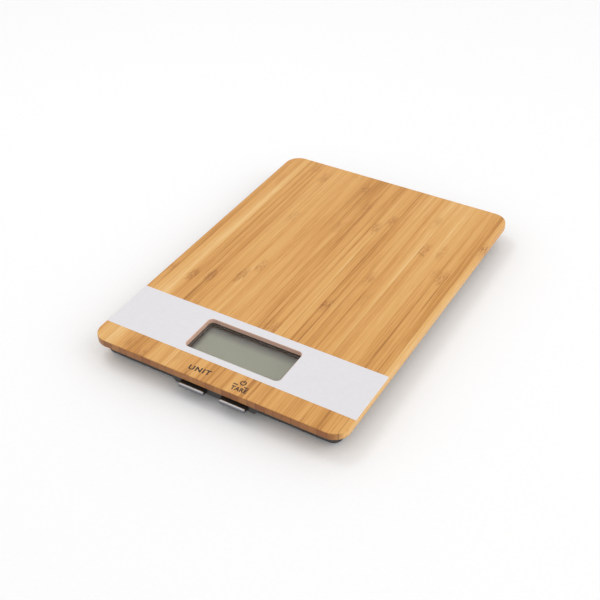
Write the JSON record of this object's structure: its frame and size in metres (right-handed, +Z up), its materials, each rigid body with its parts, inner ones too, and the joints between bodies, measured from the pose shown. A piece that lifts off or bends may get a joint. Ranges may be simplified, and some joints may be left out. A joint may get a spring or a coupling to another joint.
{
  "type": "kitchen scale",
  "caption": "Flat digital kitchen scale with a bamboo platform, recessed display window, front push keys, four sensing feet and a hinged battery door.",
  "frame": {"origin": "on the table, under the middle of the scale's outline box, keys included", "axes": "+Z up, +Y from the keys' side to the back, +X to the right as the user faces the keys"},
  "size_m": [0.165, 0.227, 0.0165],
  "materials": {
    "bamboo": "satin lacquered side-pressed bamboo",
    "band_paint": "satin white lacquer band printed across the platform",
    "dark_print": "thin dark pad-printed ink",
    "clear_lens": "clear polished acrylic window",
    "black_plastic": "black moulded ABS, fine texture",
    "charcoal_plastic": "charcoal moulded ABS, fine spark-eroded texture",
    "lcd_glass": "grey-green reflective liquid crystal panel, blank",
    "white_film": "white reflector film",
    "elastomer": "pale silicone contact strip",
    "circuit_board": "green solder mask on glass-fibre laminate",
    "chrome": "satin chrome plated plastic",
    "sprung_steel": "nickel plated spring steel",
    "cell_can": "bright nickel steel can",
    "cell_steel": "nickel plated stamped steel",
    "gauge_film": "polyimide foil",
    "white_plastic": "natural white moulded plastic",
    "pad_rubber": "matte grey soft rubber",
    "screw_steel": "zinc plated steel",
    "wire_white": "white PVC sheath",
    "wire_red": "red PVC insulation",
    "wire_black": "black PVC insulation"
  },
  "bodies": {
    "housing": {"bamboo_platform": "bamboo", "battery_contact_minus": "sprung_steel", "battery_contact_plus": "sprung_steel", "battery_lead_minus": "wire_black", "battery_lead_plus": "wire_red", "board_screw_back_left": "screw_steel", "board_screw_back_right": "screw_steel", "board_screw_front_left": "screw_steel", "board_screw_front_right": "screw_steel", "bottom_shell": "charcoal_plastic", "cell_cable_back_left": "wire_white", "cell_cable_back_right": "wire_white", "cell_cable_front_left": "wire_white", "cell_cable_front_right": "wire_white", "cell_holder_back_left": "white_plastic", "cell_holder_back_right": "white_plastic", "cell_holder_front_left": "white_plastic", "cell_holder_front_right": "white_plastic", "circuit_board": "circuit_board", "coin_cell": "cell_can", "contact_strip_back": "elastomer", "contact_strip_front": "elastomer", "controller_chip": "black_plastic", "display_bezel": "black_plastic", "display_lens": "clear_lens", "foot_cup_back_left": "charcoal_plastic", "foot_cup_back_right": "charcoal_plastic", "foot_cup_front_left": "charcoal_plastic", "foot_cup_front_right": "charcoal_plastic", "foot_pad_back_left": "pad_rubber", "foot_pad_back_right": "pad_rubber", "foot_pad_front_left": "pad_rubber", "foot_pad_front_right": "pad_rubber", "housing_screw_back_left": "screw_steel", "housing_screw_back_right": "screw_steel", "housing_screw_front_left": "screw_steel", "housing_screw_front_right": "screw_steel", "housing_screw_rear_left": "screw_steel", "housing_screw_rear_right": "screw_steel", "key_bracket": "black_plastic", "lcd_panel": "lcd_glass", "lcd_reflector": "white_film", "load_cell_back_left": "cell_steel", "load_cell_back_right": "cell_steel", "load_cell_front_left": "cell_steel", "load_cell_front_right": "cell_steel", "strain_gauge_back_left": "gauge_film", "strain_gauge_back_right": "gauge_film", "strain_gauge_front_left": "gauge_film", "strain_gauge_front_right": "gauge_film", "switch_body_left": "black_plastic", "switch_body_right": "black_plastic"},
    "battery_door": {"battery_door": "charcoal_plastic"},
    "key_left": {"key_left": "chrome", "switch_plunger_left": "white_plastic"},
    "key_right": {"key_right": "chrome", "switch_plunger_right": "white_plastic"}
  },
  "joints": [
    {"name": "key_left_press", "type": "slide", "parent": "housing", "child": "key_left", "axis": [0, 1, 0], "range_m": [0, 0.0005], "stiffness_N_per_m": 3000},
    {"name": "key_right_press", "type": "slide", "parent": "housing", "child": "key_right", "axis": [0, 1, 0], "range_m": [0, 0.0005], "stiffness_N_per_m": 3000},
    {"name": "battery_door_hinge", "type": "hinge", "parent": "housing", "child": "battery_door", "pos_m": [0, 0.00125, 0.004], "axis": [1, 0, 0], "range_deg": [0, 85]}
  ]
}
